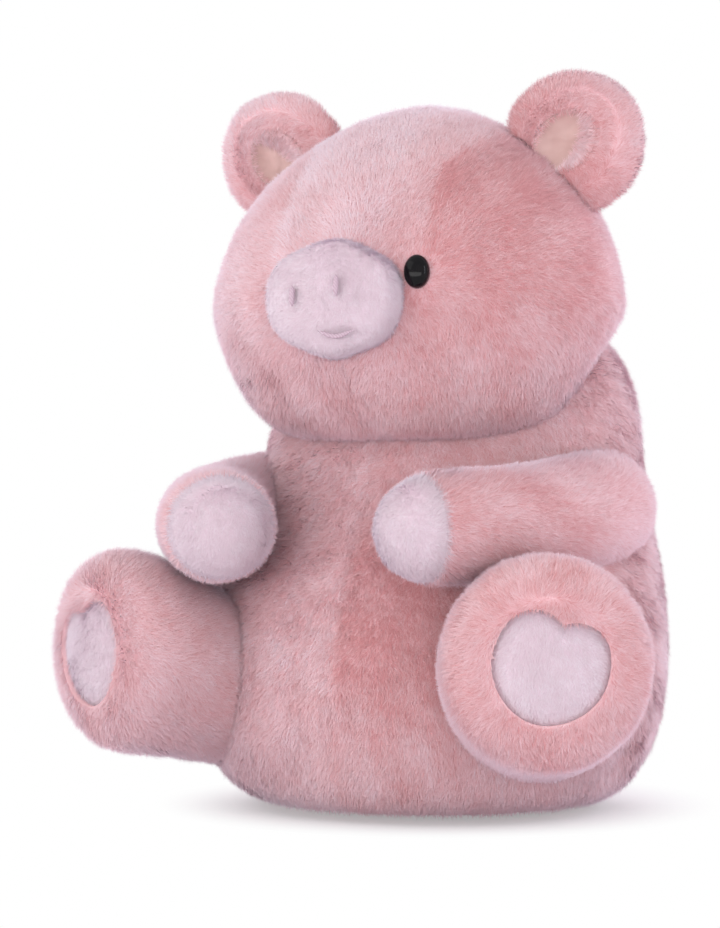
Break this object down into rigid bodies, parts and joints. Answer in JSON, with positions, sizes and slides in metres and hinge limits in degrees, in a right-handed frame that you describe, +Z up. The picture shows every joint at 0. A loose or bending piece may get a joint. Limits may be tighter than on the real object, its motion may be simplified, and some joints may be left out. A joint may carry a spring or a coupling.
{
  "type": "plush pig",
  "caption": "Seated stuffed pig in dense plush, with a ball-shaped head, cupped ears, soft limbs, pale pads and snout, and a weighted flat seat.",
  "frame": {"origin": "on the surface that the pig sits on, below the middle of its seat", "axes": "+Z up; the pig faces -Y; its left side is +X"},
  "size_m": [0.2584, 0.2335, 0.2995],
  "materials": {
    "plush": "dense pink pile, matt",
    "pale_plush": "short pale lilac pile, matt",
    "satin": "smooth tan satin, soft sheen",
    "thread": "sewing thread",
    "eye": "polished black",
    "washer": "moulded",
    "stuffing": "loose polyester fibre",
    "pouch": "woven cotton"
  },
  "bodies": {
    "body": {"body_skin": "plush", "body_stuffing": "stuffing", "pellet_bag": "pouch"},
    "head": {"head_skin": "plush", "head_stuffing": "stuffing", "snout": "pale_plush", "nostril_stitch_left": "thread", "nostril_stitch_right": "thread", "mouth_stitch": "thread", "eye_left": "eye", "eye_right": "eye", "eye_washer_left": "washer", "eye_washer_right": "washer"},
    "ear_left": {"ear_left": "plush", "ear_lining_left": "satin"},
    "ear_right": {"ear_right": "plush", "ear_lining_right": "satin"},
    "arm_left": {"arm_skin_left": "plush", "arm_stuffing_left": "stuffing", "paw_pad_left": "pale_plush"},
    "arm_right": {"arm_skin_right": "plush", "arm_stuffing_right": "stuffing", "paw_pad_right": "pale_plush"},
    "leg_left": {"leg_skin_left": "plush", "leg_stuffing_left": "stuffing", "sole_pad_left": "pale_plush"},
    "leg_right": {"leg_skin_right": "plush", "leg_stuffing_right": "stuffing", "sole_pad_right": "pale_plush"},
    "tail": {"tail": "plush"}
  },
  "joints": [
    {"name": "neck_turn", "type": "hinge", "parent": "body", "child": "head", "pos_m": [0, 0.02241, 0.147], "axis": [0, 0, 1], "range_deg": [-12, 12], "stiffness_Nm_per_rad": 0.05},
    {"name": "shoulder_left", "type": "hinge", "parent": "body", "child": "arm_left", "pos_m": [0.067, 0.008, 0.1234], "axis": [-1, 0, 0], "range_deg": [0, 12], "stiffness_Nm_per_rad": 0.02},
    {"name": "shoulder_right", "type": "hinge", "parent": "body", "child": "arm_right", "pos_m": [-0.067, 0.008, 0.1234], "axis": [-1, 0, 0], "range_deg": [0, 12], "stiffness_Nm_per_rad": 0.02},
    {"name": "hip_left", "type": "hinge", "parent": "body", "child": "leg_left", "pos_m": [0.056, -0.035, 0.047], "axis": [0, 0, 1], "range_deg": [0, 15], "stiffness_Nm_per_rad": 0.02},
    {"name": "hip_right", "type": "hinge", "parent": "body", "child": "leg_right", "pos_m": [-0.056, -0.035, 0.047], "axis": [0, 0, -1], "range_deg": [0, 15], "stiffness_Nm_per_rad": 0.02},
    {"name": "ear_fold_left", "type": "hinge", "parent": "head", "child": "ear_left", "pos_m": [0.05789, -0.01499, 0.263], "axis": [0.6561, 0, -0.7547], "range_deg": [-10, 10], "stiffness_Nm_per_rad": 0.02},
    {"name": "ear_fold_right", "type": "hinge", "parent": "head", "child": "ear_right", "pos_m": [-0.05789, -0.01499, 0.263], "axis": [0.6947, 0, 0.7193], "range_deg": [-10, 10], "stiffness_Nm_per_rad": 0.02},
    {"name": "tail_wag", "type": "hinge", "parent": "body", "child": "tail", "pos_m": [0, 0.08029, 0.05], "axis": [0, 0, 1], "range_deg": [-12, 12], "stiffness_Nm_per_rad": 0.004}
  ]
}
